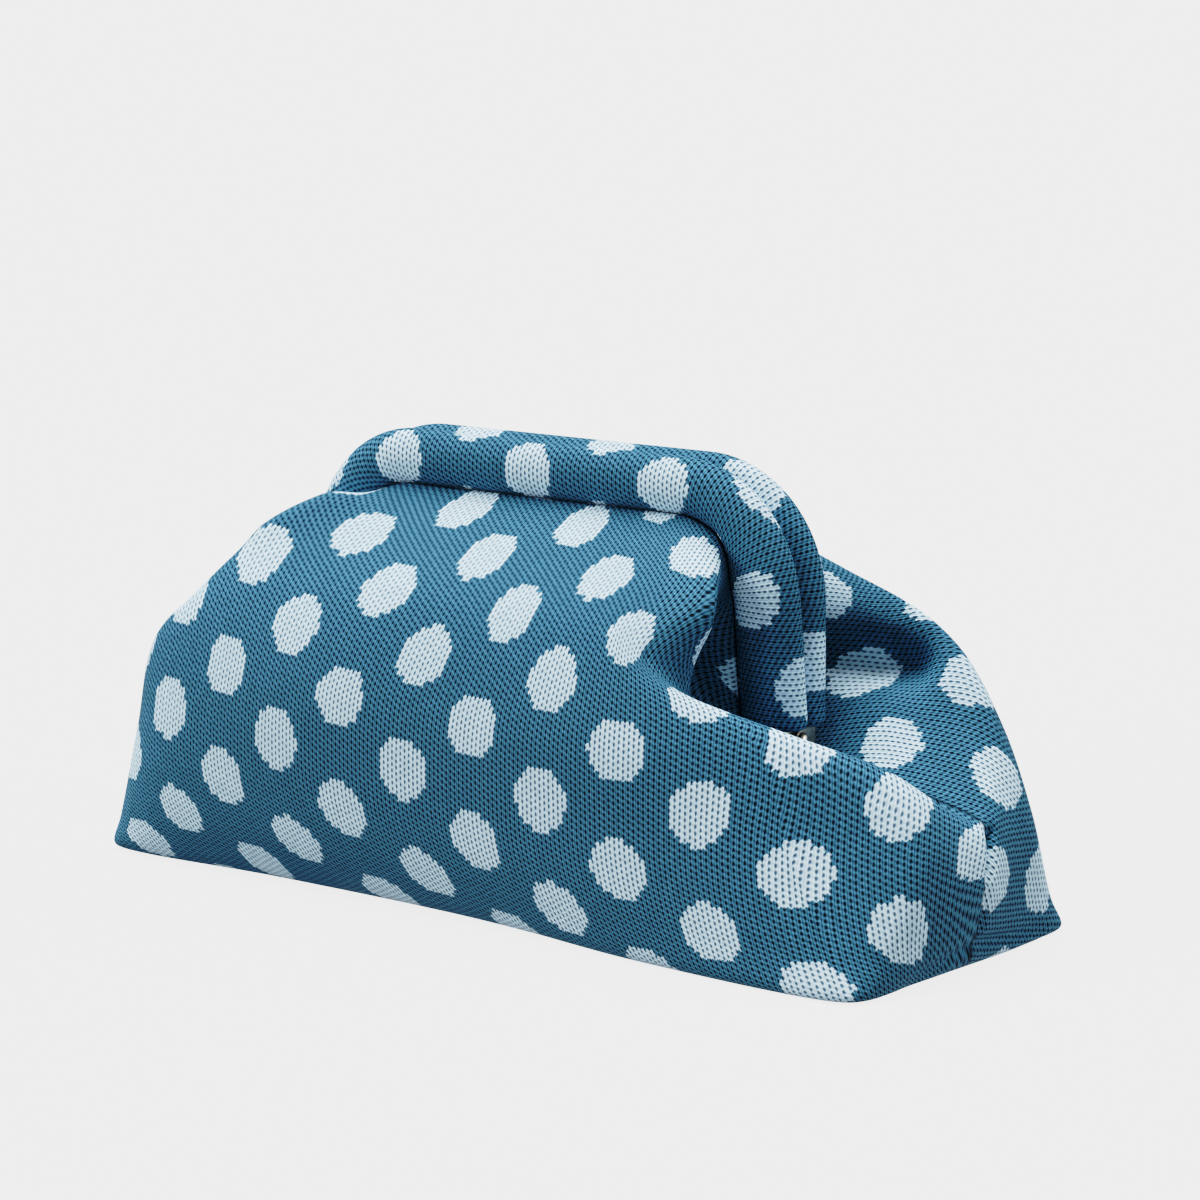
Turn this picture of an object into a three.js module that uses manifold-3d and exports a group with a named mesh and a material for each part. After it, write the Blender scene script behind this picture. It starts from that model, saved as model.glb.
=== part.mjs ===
// Frame clutch: a soft knit pouch gathered on a hinged steel frame, whose two bows lie in padded casings.
// Millimetres, +Z up, front towards -Y, standing on Z = 0 with its box centred on X = 0 and Y = 0.

import * as THREE from 'three';
import { mergeVertices } from 'three/addons/utils/BufferGeometryUtils.js';
import Module from 'manifold-3d';

// Driving dimensions of the knit
const WALL = 2; // thickness of the knit
const SOLE_EASE = 6; // height over which a crease fades out towards the flat sole
const MOUTH_EASE = 0.5; // part of the topmost level over which it fades out towards the mouth

// Driving dimensions of the frame: the middle line of a bow is a U with round upper corners
const BOW_HALF_WIDTH = 92.5; // middle plane to the middle of a leg
const BOW_TOP = 143.5; // height of the middle of the top bar
const BOW_CORNER = 36; // radius of the upper corners
const BOW_DEPTH = 7.2; // each bow's distance from the middle plane
const BAR = { thick: 3, wide: 12 }; // section of the steel bar
const BAR_FOOT = 62.5; // height at which the bar ends

// Driving dimensions of the padded casing round a bow
const CASING = { thick: 14, high: 19 }; // its oval section
const CASING_FOOT = 68; // height of the hem at the end of a leg
const LEG = { from: 76, full: 106, padding: 5.5 }; // lengths along the bow between which the legs get thicker
const LEAN = { out: 2, in: 2.4 }; // how far a leg leans at its foot: outwards, and towards the middle plane
const TOUCH = 0.2; // distance from the middle plane at which a casing is pressed flat by the other
const SLOT = { play: 0.4, overrun: 1 }; // play round the bar, and how far the cut runs past the hem

// Driving dimensions of the hinge: eyes side by side on an axis along X, with a rivet through them
const HINGE_HEIGHT = 64;
const EYE = { radius: 3.6, bore: 1.8, thick: 1.8 };
const EYE_START = { front: 95.6, back: 97.7 }; // distance of each eye's inner face from the middle plane
const RIVET = { shank: 1.4, head: 2.6, dome: 1.5, start: 95.2, end: 99.9 };

// Heights at which the pouch is measured: the middle of a panel and the side seam
const LEVELS = [
  { middle: { y: 50, z: 0 }, seam: [163, -4, 0] }, // sole
  { middle: { y: 55, z: 1.8 }, seam: [166, -4, 2.2] }, // edge
  { middle: { y: 60, z: 14 }, seam: [169, -2.5, 12] }, // low
  { middle: { y: 62, z: 42 }, seam: [170, 1, 29] }, // belly
  { middle: { y: 60, z: 72 }, seam: [166, 8, 42] }, // high
  { middle: { y: 50, z: 101 }, seam: [144, 5, 51] }, // shoulder
  { middle: { y: 33, z: 119 }, seam: [118, 2, 54] }, // slope
];

// Corners of the pouch at those heights: the quarter line of the panel, the wing where the panel turns into
// the end, fold for how far the wing's crease is cut back on both sides, and the gusset between wing and seam
const CORNERS = {
  full: [
    { quarter: [80, 50, 0], wing: [157, 54, 0], fold: 5, gusset: [156, 27, 0] },
    { quarter: [82, 55, 2], wing: [161, 57, 1.8], fold: 5, gusset: [161, 28, 2.5] },
    { quarter: [84, 60, 14], wing: [161, 57, 11], fold: 10, gusset: [164, 28, 12] },
    { quarter: [82, 62, 42], wing: [158, 54, 43], fold: 16, gusset: [165, 24, 40] },
    { quarter: [74, 60, 72], wing: [149, 47, 77], fold: 7, gusset: [154, 24, 60] },
    { quarter: [62, 50, 100], wing: [134, 43, 94], fold: 8, gusset: [136, 24, 70] },
    { quarter: [50, 33, 118], wing: [111, 33, 116], fold: 8, gusset: [112, 22, 78] },
  ],
  leaning: [
    { quarter: [80, 50, 0], wing: [161, 57, 0], fold: 5, gusset: [164, 27, 0] },
    { quarter: [82, 55, 2], wing: [164, 59, 1.6], fold: 5, gusset: [166, 28, 2] },
    { quarter: [84, 60, 14], wing: [163, 58, 11], fold: 10, gusset: [166, 28, 12] },
    { quarter: [82, 62, 42], wing: [159, 54, 43], fold: 16, gusset: [165, 24, 40] },
    { quarter: [74, 60, 72], wing: [151, 49, 70], fold: 14, gusset: [155, 24, 58] },
    { quarter: [62, 50, 100], wing: [136, 42, 95], fold: 10, gusset: [134, 24, 70] },
    { quarter: [50, 33, 118], wing: [101, 36, 113], fold: 10, gusset: [107, 22, 76] },
  ],
  slumped: [
    { quarter: [80, 60, 0], wing: [160, 59, 0], fold: 5, gusset: [162, 27, 0] },
    { quarter: [81, 62, 2], wing: [163, 61, 1.6], fold: 5, gusset: [165, 28, 2] },
    { quarter: [84, 63, 14], wing: [162, 58, 12], fold: 10, gusset: [167, 28, 13] },
    { quarter: [82, 62, 42], wing: [154, 51, 44], fold: 22, gusset: [166, 22, 41] },
    { quarter: [74, 60, 72], wing: [128, 47, 74], fold: 12, gusset: [147, 22, 64] },
    { quarter: [62, 50, 100], wing: [87, 48, 93], fold: 5, gusset: [102, 21, 64] },
    { quarter: [50, 33, 118], wing: [88, 37, 113], fold: 5, gusset: [84, 18, 67] },
  ],
};

// The mouth at the stations from the middle of a panel to the seam: length along the bow from the middle
// of its top bar, angle round the casing below its side, and gap to the casing
const MOUTH = [
  { along: 0, angle: 62, gap: 0.6 },
  { along: 40, angle: 62, gap: 0.6 },
  { along: 74, angle: 62, gap: 0.6 },
  { along: 88, angle: 58, gap: 0.5 },
  { along: 153, angle: 58, gap: 0.6 },
  { along: 153, angle: 58, gap: 0.6 },
];
const MOUTH_END = { inward: 4, drop: 16 }; // how the mouth closes below the hinge

// Creases pressed into the wall, or raised where the depth is below zero: the grooves of the side seams and
// of the base at the right end, the valley behind the right leg, and a puff at the left
const CREASES = [
  { from: [171, -3, 4], to: [173, 1, 27], width: 3, depth: 3.5 },
  { from: [173, 1, 27], to: [167, 9, 43], width: 3, depth: 4.5 },
  { from: [-171, -3, 4], to: [-173, 1, 27], width: 3, depth: 3.5 },
  { from: [-173, 1, 27], to: [-167, 9, 43], width: 3, depth: 4.5 },
  { from: [163, -36, 2], to: [169, -2, 8], width: 2.5, depth: 2 },
  { from: [169, -2, 8], to: [165, 40, 3], width: 2.5, depth: 2 },
  { from: [92, 22, 88], to: [118, 34, 86], width: 8, depth: 8 },
  { from: [-84, -21, 132], to: [-108, -30, 124], width: 10, depth: -7 },
];

// Fineness of the faceted solids
const QUARTER_STEPS = [4, 6, 3, 3, 4]; // columns between the stations of a quarter
const LEVEL_STEPS = [1, 2, 4, 3, 3, 3, 4]; // rows between the levels, the last one up to the mouth
const BOW_STEPS = 36;
const OVAL_STEPS = 8; // half the number of sides of the casing
const ROUND_STEPS = 8; // half the number of sides of eyes and rivets
const DOME_STEPS = 4;

const FRONT = -1;
const BACK = 1;
const LEFT = -1;
const RIGHT = 1;
const { degToRad, lerp, clamp, smoothstep } = THREE.MathUtils;

const wasm = await Module();
wasm.setup();

// Materials
const knit = () => new THREE.MeshStandardMaterial({ color: 0x4b86ab, roughness: 0.9, metalness: 0 });
const steel = () => new THREE.MeshStandardMaterial({ color: 0xb9b4a8, roughness: 0.35, metalness: 1 });

// Point of the bow's right half at a length from the middle of its top bar, with its outward direction:
// a level stretch, a quarter circle and a plumb leg
function bowAt(along) {
  const level = BOW_HALF_WIDTH - BOW_CORNER;
  const turn = clamp((along - level) / BOW_CORNER, 0, Math.PI / 2);
  const leg = Math.max(along - level - (BOW_CORNER * Math.PI) / 2, 0);
  const outward = new THREE.Vector3(Math.sin(turn), 0, Math.cos(turn));
  const middle = new THREE.Vector3(Math.min(along, level), 0, BOW_TOP - BOW_CORNER - leg);
  return { point: middle.addScaledVector(outward, BOW_CORNER), outward };
}

// Length of a bow from the middle of its top bar down to the height of its foot
function halfLength(foot) {
  return BOW_HALF_WIDTH - BOW_CORNER + (Math.PI / 2) * BOW_CORNER + BOW_TOP - BOW_CORNER - foot;
}

// Middle line of a bow, from the foot of the left leg over the top to the foot of the right leg
class BowPath extends THREE.Curve {
  constructor(depth, foot) {
    super();
    this.depth = depth;
    this.half = halfLength(foot);
  }

  getPoint(t, target = new THREE.Vector3()) {
    const along = (2 * t - 1) * this.half;
    const { point } = bowAt(Math.abs(along));
    return target.set(Math.sign(along) * point.x, this.depth, point.z);
  }
}

// How far the casing reaches from the bow towards the middle: half its height, and more on the padded legs
function casingInner(along) {
  return CASING.high / 2 + LEG.padding * smoothstep(along, LEG.from, LEG.full);
}

// How much of its lean the casing has at a length along the bow, growing evenly to the foot
function leanShare(along) {
  return clamp((along - LEG.full) / (halfLength(CASING_FOOT) - LEG.full), 0, 1);
}

// Geometry with positions only, shared vertices merged and no triangle without area
function welded(geometry) {
  const bare = new THREE.BufferGeometry();
  bare.setAttribute('position', geometry.getAttribute('position').clone());
  if (geometry.index) bare.setIndex(geometry.index.clone());
  const merged = mergeVertices(bare, 1e-4);
  const corners = merged.index.array;
  const kept = [];
  for (let i = 0; i < corners.length; i += 3) {
    const [a, b, c] = corners.slice(i, i + 3);
    if (a !== b && b !== c && c !== a) kept.push(a, b, c);
  }
  merged.setIndex(kept);
  return merged;
}

function solidOf(geometry) {
  const { attributes, index } = welded(geometry);
  const vertProperties = new Float32Array(attributes.position.array);
  const triVerts = new Uint32Array(index.array);
  return new wasm.Manifold(new wasm.Mesh({ numProp: 3, vertProperties, triVerts }));
}

function geometryOf(solid) {
  const { vertProperties, triVerts } = solid.getMesh();
  const geometry = new THREE.BufferGeometry();
  geometry.setAttribute('position', new THREE.BufferAttribute(vertProperties, 3));
  geometry.setIndex(new THREE.BufferAttribute(triVerts, 1));
  return geometry;
}

function piece(name, geometry, material) {
  geometry.computeVertexNormals();
  const mesh = new THREE.Mesh(geometry, material);
  mesh.name = name;
  return mesh;
}

// Control points of one level, once round the pouch from the middle of the front by the right seam
function ringControls(level) {
  const { middle, seam } = LEVELS[level];
  const corner = (shape, sideX, sideY) => {
    const { quarter, wing, fold, gusset } = CORNERS[shape][level];
    const [q, w, g] = [quarter, wing, gusset].map(([x, y, z]) => new THREE.Vector3(sideX * x, sideY * y, z));
    const cutBack = (end) => w.clone().addScaledVector(end.clone().sub(w).normalize(), fold);
    return [q, cutBack(q), cutBack(g), g];
  };
  const seamAt = (sideX) => new THREE.Vector3(sideX * seam[0], seam[1], seam[2]);
  return [
    new THREE.Vector3(0, FRONT * middle.y, middle.z),
    ...corner('slumped', RIGHT, FRONT),
    seamAt(RIGHT),
    ...corner('leaning', RIGHT, BACK).reverse(),
    new THREE.Vector3(0, BACK * middle.y, middle.z),
    ...corner('full', LEFT, BACK),
    seamAt(LEFT),
    ...corner('full', LEFT, FRONT).reverse(),
  ];
}

// Station numbers of the columns: 0 at the front middle, 5 at the right seam, 10 at the back middle
function stationNumbers() {
  const half = [...QUARTER_STEPS, ...QUARTER_STEPS.toReversed()];
  return [...half, ...half].flatMap((steps, segment) =>
    Array.from({ length: steps }, (_, k) => segment + k / steps));
}

// Point of the mouth at a station: it follows the underside of the casing, and past the gusset it turns
// below the end of the leg towards the middle plane, where front and back meet
function mouthAt(station) {
  const fold = Math.abs(((station + 5) % 10) - 5);
  const sideX = station < 10 ? RIGHT : LEFT;
  const sideY = station < 5 || station > 15 ? FRONT : BACK;
  const row = Math.min(Math.floor(fold), MOUTH.length - 2);
  const value = (column) => lerp(MOUTH[row][column], MOUTH[row + 1][column], fold - row);
  const along = value('along');
  const { point, outward } = bowAt(along);
  const angle = degToRad(value('angle'));
  const lean = leanShare(along);
  const below = (casingInner(along) + value('gap')) * Math.sin(angle);
  const beside = BOW_DEPTH + (CASING.thick / 2 + value('gap')) * Math.cos(angle) - LEAN.in * lean;
  const turn = clamp(fold - 4, 0, 1) * (Math.PI / 2);
  point.addScaledVector(outward, -below);
  point.x += LEAN.out * lean - MOUTH_END.inward * Math.sin(turn);
  point.z -= MOUTH_END.drop * Math.sin(turn);
  return new THREE.Vector3(sideX * point.x, sideY * beside * Math.cos(turn), point.z);
}

// Outward normals of a grid of points, rows going up and columns going once round
function gridNormals(rows) {
  return rows.map((row, i) => row.map((_, j) => {
    const across = row[(j + 1) % row.length].clone().sub(row.at(j - 1));
    const above = rows[Math.min(i + 1, rows.length - 1)][j];
    const below = rows[Math.max(i - 1, 0)][j];
    return across.cross(above.clone().sub(below)).normalize();
  }));
}

// Depth of the strongest crease at a point: a bell across the crease's line, none at the sole
function creaseDepth(point) {
  const depths = CREASES.map(({ from, to, width, depth }) => {
    const line = new THREE.Line3(new THREE.Vector3(...from), new THREE.Vector3(...to));
    const nearest = line.closestPointToPoint(point, true, new THREE.Vector3());
    return depth * Math.exp(-((point.distanceTo(nearest) / width) ** 2));
  });
  const strongest = depths.reduce((a, b) => (Math.abs(a) > Math.abs(b) ? a : b));
  return strongest * clamp(point.z / SOLE_EASE, 0, 1);
}

// Outer skin of the pouch: closed curves through the levels, and plumb curves through those and the mouth.
// The creases are pressed in and the box is centred, both fading out towards the mouth at the casings.
function pouchSkin() {
  const stations = stationNumbers();
  const rings = LEVELS.map((_, level) => {
    const controls = ringControls(level);
    const ring = new THREE.CatmullRomCurve3(controls, true, 'centripetal');
    return stations.map((station) => ring.getPoint(station / controls.length));
  });
  rings.push(stations.map(mouthAt));
  const heights = LEVEL_STEPS.flatMap((steps, level) =>
    Array.from({ length: steps }, (_, k) => level + k / steps));
  heights.push(LEVELS.length);
  const columns = stations.map((_, j) => {
    const column = new THREE.CatmullRomCurve3(rings.map((ring) => ring[j]), false, 'centripetal');
    return heights.map((height) => column.getPoint(height / LEVELS.length));
  });
  const rows = heights.map((_, i) => columns.map((column) => column[i]));
  const normals = gridNormals(rows);
  const ease = heights.map((height) => clamp((LEVELS.length - height) / MOUTH_EASE, 0, 1));
  rows.forEach((row, i) => row.forEach((point, j) =>
    point.addScaledVector(normals[i][j], -ease[i] * creaseDepth(point))));
  const middle = new THREE.Box3().setFromPoints(rows.flat()).getCenter(new THREE.Vector3()).setZ(0);
  rows.forEach((row, i) => row.forEach((point) => point.addScaledVector(middle, -ease[i])));
  return rows;
}

// The pouch: outer skin, inner skin one wall further in, a strip round the mouth and two flat floors
function pouch() {
  const outer = pouchSkin();
  const normals = gridNormals(outer);
  const inner = outer.map((row, i) => row.map((point, j) => {
    const inside = point.clone().addScaledVector(normals[i][j], -WALL);
    return inside.setZ(i === 0 ? WALL : Math.max(inside.z, WALL));
  }));
  const middles = [new THREE.Vector3(0, 0, 0), new THREE.Vector3(0, 0, WALL)];
  const points = [...outer.flat(), ...inner.flat(), ...middles];
  const count = outer[0].length;
  const top = outer.length - 1;
  const skin = outer.length * count;
  const outerFloor = 2 * skin;
  const innerFloor = outerFloor + 1;
  const triangles = [];
  for (let j = 0; j < count; j++) {
    const k = (j + 1) % count;
    for (let i = 0; i < top; i++) {
      const [a, b, c, d] = [i * count + j, i * count + k, (i + 1) * count + k, (i + 1) * count + j];
      triangles.push(a, b, c, a, c, d);
      triangles.push(skin + a, skin + c, skin + b, skin + a, skin + d, skin + c);
    }
    const [a, b] = [top * count + j, top * count + k];
    triangles.push(a, b, skin + b, a, skin + b, skin + a);
    triangles.push(outerFloor, k, j, innerFloor, skin + j, skin + k);
  }
  return new THREE.BufferGeometry().setFromPoints(points).setIndex(triangles);
}

// A section carried along a bow. Its x runs front to back and its y across the bow in the bow's plane.
function alongBow(section, depth, foot) {
  const extrudePath = new BowPath(depth, foot);
  return new THREE.ExtrudeGeometry(section, { steps: BOW_STEPS, extrudePath });
}

function rectangle({ thick, wide }) {
  const outline = new THREE.Shape();
  outline.moveTo(-thick / 2, -wide / 2);
  outline.lineTo(thick / 2, -wide / 2);
  outline.lineTo(thick / 2, wide / 2);
  outline.lineTo(-thick / 2, wide / 2);
  outline.closePath();
  return outline;
}

// Ring of a casing at a length along the bow, counted from the middle of the top bar, below zero on the left:
// an oval round the bar, padded towards the middle, leaning, and pressed flat at the middle plane
function casingRing(side, length) {
  const along = Math.abs(length);
  const lean = leanShare(along);
  const { point, outward } = bowAt(along);
  return Array.from({ length: 2 * OVAL_STEPS }, (_, k) => {
    const angle = (k / OVAL_STEPS) * Math.PI;
    const lift = Math.sin(angle) * (angle > Math.PI ? casingInner(along) : CASING.high / 2);
    const depth = BOW_DEPTH + (CASING.thick / 2) * Math.cos(angle) - LEAN.in * lean;
    const x = point.x + outward.x * lift + LEAN.out * lean;
    const z = point.z + outward.z * lift;
    return new THREE.Vector3(Math.sign(length) * x, side * Math.max(depth, TOUCH), z);
  });
}

// Closed tube through rings of points, with a flat fan over each end
function tube(rings) {
  const count = rings[0].length;
  const last = (rings.length - 1) * count;
  const sum = (ring) => ring.reduce((total, point) => total.add(point), new THREE.Vector3());
  const middle = (ring) => sum(ring).divideScalar(count);
  const points = [...rings.flat(), middle(rings[0]), middle(rings.at(-1))];
  const [startMiddle, endMiddle] = [points.length - 2, points.length - 1];
  const triangles = [];
  for (let k = 0; k < count; k++) {
    const next = (k + 1) % count;
    for (let start = 0; start < last; start += count) {
      const [a, b, c, d] = [start + k, start + next, start + count + next, start + count + k];
      triangles.push(a, b, c, a, c, d);
    }
    triangles.push(startMiddle, next, k, endMiddle, last + k, last + next);
  }
  return new THREE.BufferGeometry().setFromPoints(points).setIndex(triangles);
}

// Padded casing: an oval sleeve along the bow with a slot for the bar
function casing(side) {
  const half = halfLength(CASING_FOOT);
  const rings = Array.from({ length: BOW_STEPS + 1 }, (_, k) =>
    casingRing(side, lerp(-half, half, k / BOW_STEPS)));
  const sleeve = tube(rings.map((ring) => (side === BACK ? ring : ring.toReversed())));
  const slot = { thick: BAR.thick + 2 * SLOT.play, wide: BAR.wide + 2 * SLOT.play };
  const cut = alongBow(rectangle(slot), side * BOW_DEPTH, CASING_FOOT - SLOT.overrun);
  return geometryOf(solidOf(sleeve).subtract(solidOf(cut)));
}

// Hinge eye at the foot of a leg: a tab from the bar to the hinge axis, round at its end and bored
function hingeEye(sideX, side, start) {
  const bar = side * BOW_DEPTH;
  const tab = new THREE.Shape();
  tab.moveTo(bar, HINGE_HEIGHT - EYE.radius);
  tab.lineTo(0, HINGE_HEIGHT - EYE.radius);
  tab.absarc(0, HINGE_HEIGHT, EYE.radius, -Math.PI / 2, Math.PI / 2, side === BACK);
  tab.lineTo(bar, HINGE_HEIGHT + EYE.radius);
  tab.closePath();
  const bore = new THREE.Path().absarc(0, HINGE_HEIGHT, EYE.bore, 0, 2 * Math.PI);
  tab.holes.push(bore);
  const settings = { depth: EYE.thick, bevelEnabled: false, curveSegments: ROUND_STEPS };
  const geometry = new THREE.ExtrudeGeometry(tab, settings);
  const axes = [new THREE.Vector3(0, 1, 0), new THREE.Vector3(0, 0, 1), new THREE.Vector3(1, 0, 0)];
  geometry.applyMatrix4(new THREE.Matrix4().makeBasis(...axes));
  return geometry.translate(sideX === RIGHT ? start : -start - EYE.thick, 0, 0);
}

// Bow: the bar bent to a U, with an eye at each end
function bow(side) {
  const start = side === FRONT ? EYE_START.front : EYE_START.back;
  let solid = solidOf(alongBow(rectangle(BAR), side * BOW_DEPTH, BAR_FOOT));
  for (const sideX of [LEFT, RIGHT]) solid = solid.add(solidOf(hingeEye(sideX, side, start)));
  return geometryOf(solid);
}

// Rivet on the hinge axis: a shank between two domed heads, turned about its own axis
function rivet() {
  const dome = (base, out) => Array.from({ length: DOME_STEPS + 1 }, (_, k) => {
    const angle = (k / DOME_STEPS) * (Math.PI / 2);
    const across = k === DOME_STEPS ? 0 : RIVET.head * Math.cos(angle);
    return new THREE.Vector2(across, base + out * RIVET.dome * Math.sin(angle));
  });
  const profile = [
    ...dome(RIVET.start, -1).reverse(),
    new THREE.Vector2(RIVET.shank, RIVET.start),
    new THREE.Vector2(RIVET.shank, RIVET.end),
    ...dome(RIVET.end, 1),
  ];
  return welded(new THREE.LatheGeometry(profile, 2 * ROUND_STEPS));
}

const group = new THREE.Group();
group.add(piece('pouch', pouch(), knit()));
for (const [name, side] of [['front', FRONT], ['back', BACK]]) {
  group.add(piece(`${name}_casing`, casing(side), knit()));
  group.add(piece(`${name}_bow`, bow(side), steel()));
}
for (const [name, sideX] of [['left', LEFT], ['right', RIGHT]]) {
  const pin = piece(`hinge_pin_${name}`, rivet(), steel());
  pin.position.set(0, 0, HINGE_HEIGHT);
  pin.rotation.z = -sideX * (Math.PI / 2);
  group.add(pin);
}

export default group;
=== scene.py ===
# %% [markdown]
# # A knit pouch bag on a hinged frame
#
# The bag is a soft pouch of thick knit with pale dots. Its mouth is sewn to two padded casings, and
# in each casing lies one steel bow of a hinged frame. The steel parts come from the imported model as
# they are. The pouch and the casings are built anew here, as surfaces worked out with numpy, in the
# same places.

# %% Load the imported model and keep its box
import math

import bpy
import numpy as np
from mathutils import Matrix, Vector


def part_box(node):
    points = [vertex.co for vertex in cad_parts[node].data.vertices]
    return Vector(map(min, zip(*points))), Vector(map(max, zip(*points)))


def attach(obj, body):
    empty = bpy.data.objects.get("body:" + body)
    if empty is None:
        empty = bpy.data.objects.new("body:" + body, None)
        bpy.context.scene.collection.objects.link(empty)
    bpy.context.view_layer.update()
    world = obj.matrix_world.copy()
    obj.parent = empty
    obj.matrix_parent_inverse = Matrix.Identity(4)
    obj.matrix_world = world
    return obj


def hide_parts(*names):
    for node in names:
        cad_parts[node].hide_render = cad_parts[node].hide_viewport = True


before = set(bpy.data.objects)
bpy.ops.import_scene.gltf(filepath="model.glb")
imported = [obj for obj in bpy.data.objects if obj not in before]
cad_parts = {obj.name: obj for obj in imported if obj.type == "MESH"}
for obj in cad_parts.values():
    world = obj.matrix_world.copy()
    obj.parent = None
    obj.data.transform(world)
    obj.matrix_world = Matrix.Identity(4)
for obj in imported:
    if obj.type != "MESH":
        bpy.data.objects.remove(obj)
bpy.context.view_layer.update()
MM = 0.001
print("nodes:", sorted(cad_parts))

# %% [markdown]
# ## The camera
#
# The camera was fitted to the photograph: the long base, the two ends and the top of the
# frame fix its direction and its distance. A long lens from a little above the table keeps the
# edges nearly parallel. It could also be placed by eye, but a fitted camera lets each fold be
# compared with the photograph.

# %% Place the camera
AZIMUTH = math.radians(38.32)
ELEVATION = math.radians(9.99)
DISTANCE = 1.2604
TARGET = Vector((0.0168, 0, 0.1006))
SENSOR_WIDTH = 36
FOCAL_LENGTH = 113.7

towards_camera = Vector((
    math.sin(AZIMUTH) * math.cos(ELEVATION),
    -math.cos(AZIMUTH) * math.cos(ELEVATION),
    math.sin(ELEVATION),
))
lens = bpy.data.cameras.new("camera")
lens.sensor_width = SENSOR_WIDTH
lens.lens = FOCAL_LENGTH
camera = bpy.data.objects.new("camera", lens)
camera.location = TARGET + DISTANCE * towards_camera
camera.rotation_euler = (-towards_camera).to_track_quat("-Z", "Y").to_euler()
bpy.context.scene.collection.objects.link(camera)
bpy.context.scene.camera = camera
print("camera at", [round(value, 3) for value in camera.location])

# %% [markdown]
# ## Shader maths as Python expressions
#
# A knit is a repeating pattern, so its colour and relief are formulas of the fabric coordinates.
# Written node by node such formulas are hard to read. The class below wraps one socket, and
# arithmetic on it adds Math nodes, so a shader reads like ordinary maths.

# %% Wrap a socket
# Numbers of the Mix node's sockets for colours
MIX_SHARE, MIX_FIRST, MIX_SECOND, MIX_RESULT = 0, 6, 7, 2


class Wire:
    """An output socket of a shader tree. Arithmetic on wires adds Math nodes to the tree."""

    def __init__(self, tree, socket=None):
        self.tree = tree
        self.socket = socket

    def node(self, kind, settings=None, inputs=None, output=0):
        """Adds a node. Its settings are set first, then each input gets its value or its link."""
        made = self.tree.nodes.new(kind)
        for name, value in (settings or {}).items():
            setattr(made, name, value)
        for name, value in (inputs or {}).items():
            if isinstance(value, Wire):
                self.tree.links.new(value.socket, made.inputs[name])
            else:
                made.inputs[name].default_value = value
        return Wire(self.tree, made.outputs[output])

    def out(self, name):
        """Another output of the same node."""
        return Wire(self.tree, self.socket.node.outputs[name])

    def math(self, operation, *values):
        """Adds a Math node with these values."""
        return self.node("ShaderNodeMath", {"operation": operation}, dict(enumerate(values)))

    def mix(self, first, second):
        """Colour between two others: the first where this wire is 0, the second where it is 1."""
        inputs = {MIX_SHARE: self, MIX_FIRST: first, MIX_SECOND: second}
        return self.node("ShaderNodeMix", {"data_type": "RGBA"}, inputs, MIX_RESULT)

    def __add__(self, other):
        return self.math("ADD", self, other)

    def __sub__(self, other):
        return self.math("SUBTRACT", self, other)

    def __rsub__(self, other):
        return self.math("SUBTRACT", other, self)

    def __mul__(self, other):
        return self.math("MULTIPLY", self, other)

    def __truediv__(self, other):
        return self.math("DIVIDE", self, other)

    def __lt__(self, other):
        return self.math("LESS_THAN", self, other)

    def __abs__(self):
        return self.math("ABSOLUTE", self)

    __radd__ = __add__
    __rmul__ = __mul__


def new_finish(name):
    """A new material, its shader, and a wire that starts its tree."""
    material = bpy.data.materials.new(name)
    material.use_nodes = True
    shader = material.node_tree.nodes["Principled BSDF"]
    return material, shader, Wire(material.node_tree)


SCREEN_STEPS = 255
SCREEN_DARKEST, SCREEN_DARK_SLOPE = 0.04045, 12.92
SCREEN_OFFSET, SCREEN_POWER = 0.055, 2.4


def linear(red, green, blue):
    """A colour as it looks on a screen, from 0 to 255, turned into the linear values of a shader: a
    straight line for the darkest tones, and a power above."""
    screen = np.array([red, green, blue]) / SCREEN_STEPS
    dark = screen / SCREEN_DARK_SLOPE
    bright = ((screen + SCREEN_OFFSET) / (1 + SCREEN_OFFSET)) ** SCREEN_POWER
    return (*np.where(screen < SCREEN_DARKEST, dark, bright), 1.0)


print("a mid grey is", [round(value, 3) for value in linear(128, 128, 128)])

# %% [markdown]
# ## The tones
#
# A picture never shows light as it is: bright parts are held back and dark ones are lifted. The
# photograph has soft contrast, and its brightest cloth isn't burnt out. A ready-made look could be
# chosen in the colour settings, but a curve of a few points, set by comparing tones with the
# photograph, comes closer.

# %% Set the tones
# The light at the right end of the curve, and the number of the curve for all colours together
WHITE = 2.0
ALL_COLOURS = 3
# Points of the curve: the light, and the tone that shows it
TONES = (
    (0.03, 0.025), (0.07, 0.105), (0.18, 0.30), (0.36, 0.55),
    (0.6, 0.70), (0.9, 0.80), (1.3, 0.89),
)

scene = bpy.context.scene
scene.view_settings.view_transform = "Standard"
scene.view_settings.use_curve_mapping = True
tone_curve = scene.view_settings.curve_mapping
tone_curve.white_level = (WHITE, WHITE, WHITE)
for light, tone in TONES:
    tone_curve.curves[ALL_COLOURS].points.new(light / WHITE, tone)
tone_curve.update()
print("tone curve with", len(tone_curve.curves[ALL_COLOURS].points), "points")

# %% [markdown]
# ## The light
#
# The photograph shows the bag lit from above by something large and soft, with a little light on
# the front and on the right end. Lamps near the bag would leave bright pools on the floor, so three
# wide suns do it: one above, a weaker one from the left front and one from behind at the right. A
# dim sky fills the folds, and the camera sees a bright one behind the bag.

# %% Make the sky and the suns
SKY = 0.16
BACKDROP = 1.15
SUNS = {
    "sun_above": {"power": 3.9, "spread": 45, "from": (-0.22, 0.0, 1.0)},
    "sun_front": {"power": 1.45, "spread": 40, "from": (-0.50, -0.85, 0.20)},
    "sun_right": {"power": 1.15, "spread": 30, "from": (0.85, 0.50, 0.12)},
}

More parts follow.
